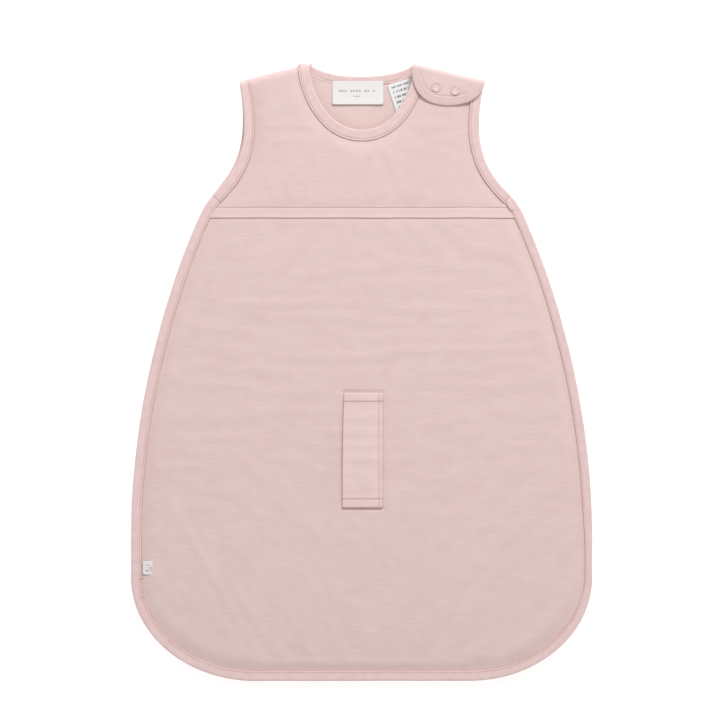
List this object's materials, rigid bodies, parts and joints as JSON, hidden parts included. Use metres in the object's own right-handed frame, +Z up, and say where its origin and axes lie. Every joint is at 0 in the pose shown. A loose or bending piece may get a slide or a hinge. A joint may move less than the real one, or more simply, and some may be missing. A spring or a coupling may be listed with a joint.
{
  "type": "baby sleeping bag",
  "caption": "Sleeveless baby sleeping bag in soft knit with bound edges, a snapped shoulder flap, a concealed side zip and a harness slot under a sewn welt.",
  "frame": {"origin": "middle of the bag's outline, on the surface it lies on", "axes": "+X across the bag towards the side with the zip and the snapped shoulder, +Y from the hem to the neck, +Z up through the bag's thickness, out of its front"},
  "size_m": [0.4708, 0.63, 0.0201],
  "materials": {
    "knit": "matte fine knit",
    "knit_edge": "matte rib knit tape",
    "knit_lining": "matte fine knit",
    "label": "woven satin",
    "zip": "satin nylon",
    "snap": "satin lacquered ring"
  },
  "bodies": {
    "bag": {"back_panel": "knit", "back_lining": "knit_lining", "back_edge_binding": "knit_edge", "back_neck_binding": "knit_edge", "left_armhole_binding_back": "knit_edge", "right_armhole_binding_back": "knit_edge", "back_slot_facing": "knit_lining", "front_yoke": "knit", "front_lower_panel": "knit", "front_lining": "knit_lining", "front_edge_binding": "knit_edge", "front_neck_binding": "knit_edge", "left_armhole_binding_front": "knit_edge", "right_armhole_binding_front": "knit_edge", "yoke_band": "knit_edge", "left_side_seam": "knit", "left_shoulder_seam": "knit", "front_slot_facing": "knit_lining", "front_harness_welt": "knit", "zip_tape_back": "zip", "zip_tape_front": "zip", "zip_coil_back": "zip", "zip_coil_front": "zip", "zip_top_stop": "zip", "zip_end_tack": "zip", "zip_garage": "knit_edge", "front_snap_stud_neck": "snap", "front_snap_stud_arm": "snap", "front_snap_ring_neck": "snap", "front_snap_ring_arm": "snap"},
    "shoulder_flap": {"shoulder_flap_outer": "knit", "shoulder_flap_facing": "knit_lining", "flap_armhole_binding": "knit_edge", "flap_snap_ring_neck": "snap", "flap_snap_ring_arm": "snap", "flap_snap_socket_neck": "snap", "flap_snap_socket_arm": "snap"},
    "zip_slider": {"zip_slider": "zip"},
    "zip_pull": {"zip_pull": "zip"},
    "neck_label": {"neck_label": "label"},
    "care_label": {"care_label": "label"},
    "side_tab": {"side_tab_label": "label"}
  },
  "joints": [
    {"name": "shoulder_flap_open", "type": "hinge", "parent": "bag", "child": "shoulder_flap", "pos_m": [0.0874, 0.3016, 0.0102], "axis": [-0.9717, 0.2364, 0], "range_deg": [0, 165]},
    {"name": "zip_slide", "type": "hinge", "parent": "bag", "child": "zip_slider", "pos_m": [-0.5926, -0.1735, 0.0068], "axis": [0, 0, -1], "range_deg": [0, 24]},
    {"name": "zip_pull_swing", "type": "hinge", "parent": "zip_slider", "child": "zip_pull", "pos_m": [0.16605, 0.15383, 0.0068], "axis": [0, 0, 1], "range_deg": [0, 150]},
    {"name": "neck_label_lift", "type": "hinge", "parent": "bag", "child": "neck_label", "pos_m": [-0.004, 0.2974, 0.0039], "axis": [-1, 0, 0], "range_deg": [0, 110]},
    {"name": "care_label_lift", "type": "hinge", "parent": "bag", "child": "care_label", "pos_m": [0.03869, 0.29681, 0.0039], "axis": [-0.95, -0.3123, 0], "range_deg": [0, 5]},
    {"name": "side_tab_lift", "type": "hinge", "parent": "bag", "child": "side_tab", "pos_m": [-0.2231, -0.1996, 0.0145], "axis": [0, -1, 0], "range_deg": [0, 150]}
  ]
}
